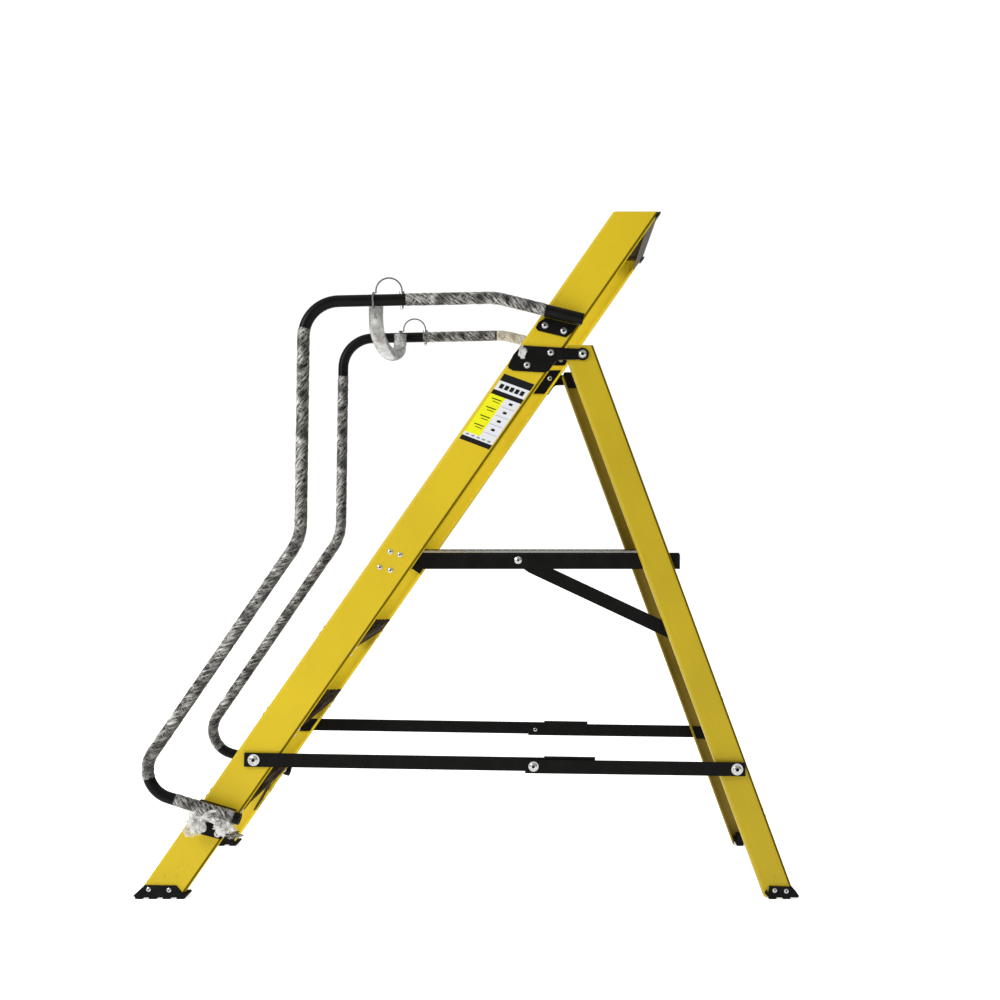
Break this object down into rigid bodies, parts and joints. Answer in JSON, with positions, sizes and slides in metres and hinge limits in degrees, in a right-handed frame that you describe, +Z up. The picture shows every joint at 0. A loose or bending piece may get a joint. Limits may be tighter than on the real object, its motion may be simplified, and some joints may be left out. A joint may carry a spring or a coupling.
{
  "type": "platform step ladder",
  "caption": "Folding fibreglass platform step ladder with black handrails, hinged standing platform, folding spreaders and a removable safety barrier.",
  "frame": {"origin": "on the floor at the middle of the overall box", "axes": "+Z up, +X across the ladder, -Y the climbing side"},
  "size_m": [0.6354, 1.5889, 1.642],
  "materials": {
    "fibreglass_yellow": "satin pultruded fibreglass with faint grain",
    "black_steel": "satin black powder coat",
    "handrail_tube": "gloss black powder coat",
    "tread_grey": "mill-finish aluminium, ribbed",
    "zinc_steel": "bright zinc plate",
    "black_rubber": "matte moulded rubber",
    "black_plastic": "matte moulded plastic",
    "label_white": "printed film",
    "barrier_sleeve": "translucent soft plastic tube",
    "transit_film": "crinkled clear film"
  },
  "bodies": {
    "front_frame": {"front_stile_r": "fibreglass_yellow", "front_stile_l": "fibreglass_yellow", "step_1": "black_steel", "step_2": "black_steel", "step_3": "black_steel", "step_treads": "tread_grey", "step_braces": "black_steel", "step_rivets": "zinc_steel", "top_channel": "tread_grey", "top_end_caps": "black_plastic", "front_shoe_r": "black_rubber", "front_shoe_l": "black_rubber", "front_shoe_rivets": "zinc_steel", "hinge_plate_r": "black_steel", "hinge_plate_l": "black_steel", "hinge_plate_bolts": "zinc_steel", "hinge_pivot_bolts": "zinc_steel", "backing_plates": "black_steel", "platform_brackets": "black_steel", "platform_bracket_rivets": "zinc_steel", "handrail_r": "handrail_tube", "handrail_l": "handrail_tube", "rail_brackets_upper": "black_steel", "rail_brackets_lower": "black_steel", "rail_bracket_bolts": "zinc_steel", "spreader_bolts_front": "zinc_steel", "rating_label": "label_white", "barrier_sleeve": "barrier_sleeve", "barrier_rings": "zinc_steel"},
    "rear_frame": {"rear_stile_r": "fibreglass_yellow", "rear_stile_l": "fibreglass_yellow", "rear_crossbar_lower": "black_steel", "rear_crossbar_middle": "black_steel", "crossbar_rivets": "zinc_steel", "rear_shoe_r": "black_rubber", "rear_shoe_l": "black_rubber", "rear_shoe_rivets": "zinc_steel", "rear_backing_plates": "black_steel", "strut_bracket": "black_steel", "spreader_bolts_rear": "zinc_steel"},
    "platform": {"platform_rail_r": "black_steel", "platform_rail_l": "black_steel", "platform_deck": "tread_grey", "platform_end_caps": "black_plastic", "deck_supports": "black_steel", "strut_pivot_pin": "zinc_steel"},
    "platform_strut": {"platform_strut": "black_steel"},
    "spreader_front_r": {"spreader_front_r": "black_steel"},
    "spreader_front_l": {"spreader_front_l": "black_steel"},
    "spreader_rear_r": {"spreader_rear_r": "black_steel", "knee_rivet_r": "zinc_steel"},
    "spreader_rear_l": {"spreader_rear_l": "black_steel", "knee_rivet_l": "zinc_steel"},
    "lock_pin_r": {"lock_pin_r": "zinc_steel", "pin_hoop_r": "zinc_steel"},
    "lock_pin_l": {"lock_pin_l": "zinc_steel", "pin_hoop_l": "zinc_steel"}
  },
  "joints": [
    {"name": "rear_fold", "type": "hinge", "parent": "front_frame", "child": "rear_frame", "pos_m": [0, 0.278, 1.301], "axis": [-1, 0, 0], "range_deg": [0, 55]},
    {"name": "platform_fold", "type": "hinge", "parent": "front_frame", "child": "platform", "pos_m": [0, -0.165, 0.8], "axis": [1, 0, 0], "range_deg": [0, 55.2]},
    {"name": "strut_fold", "type": "hinge", "parent": "platform", "child": "platform_strut", "pos_m": [0, 0.1235, 0.808], "axis": [-1, 0, 0], "range_deg": [0, 143.6]},
    {"name": "spreader_front_fold_r", "type": "hinge", "parent": "front_frame", "child": "spreader_front_r", "pos_m": [0, -0.506, 0.333], "axis": [1, 0, 0], "range_deg": [0, 54.3]},
    {"name": "spreader_rear_fold_r", "type": "hinge", "parent": "rear_frame", "child": "spreader_rear_r", "pos_m": [0, 0.6458, 0.3113], "axis": [-1, 0, 0], "range_deg": [0, 61.1]},
    {"name": "spreader_front_fold_l", "type": "hinge", "parent": "front_frame", "child": "spreader_front_l", "pos_m": [0, -0.506, 0.333], "axis": [1, 0, 0], "range_deg": [0, 54.3]},
    {"name": "spreader_rear_fold_l", "type": "hinge", "parent": "rear_frame", "child": "spreader_rear_l", "pos_m": [0, 0.6458, 0.3113], "axis": [-1, 0, 0], "range_deg": [0, 61.1]},
    {"name": "lock_pin_slide_r", "type": "slide", "parent": "front_frame", "child": "lock_pin_r", "axis": [0, 0, 1], "range_m": [0, 0.06]},
    {"name": "lock_pin_slide_l", "type": "slide", "parent": "front_frame", "child": "lock_pin_l", "axis": [0, 0, 1], "range_m": [0, 0.06]}
  ],
  "couplings": [
    {"joint": "platform_fold", "follows": "rear_fold", "ratio": 1.0022},
    {"joint": "strut_fold", "follows": "rear_fold", "ratio": 2.609},
    {"joint": "spreader_front_fold_r", "follows": "rear_fold", "ratio": 0.9845},
    {"joint": "spreader_rear_fold_r", "follows": "rear_fold", "ratio": 1.109},
    {"joint": "spreader_front_fold_l", "follows": "rear_fold", "ratio": 0.9845},
    {"joint": "spreader_rear_fold_l", "follows": "rear_fold", "ratio": 1.109}
  ]
}
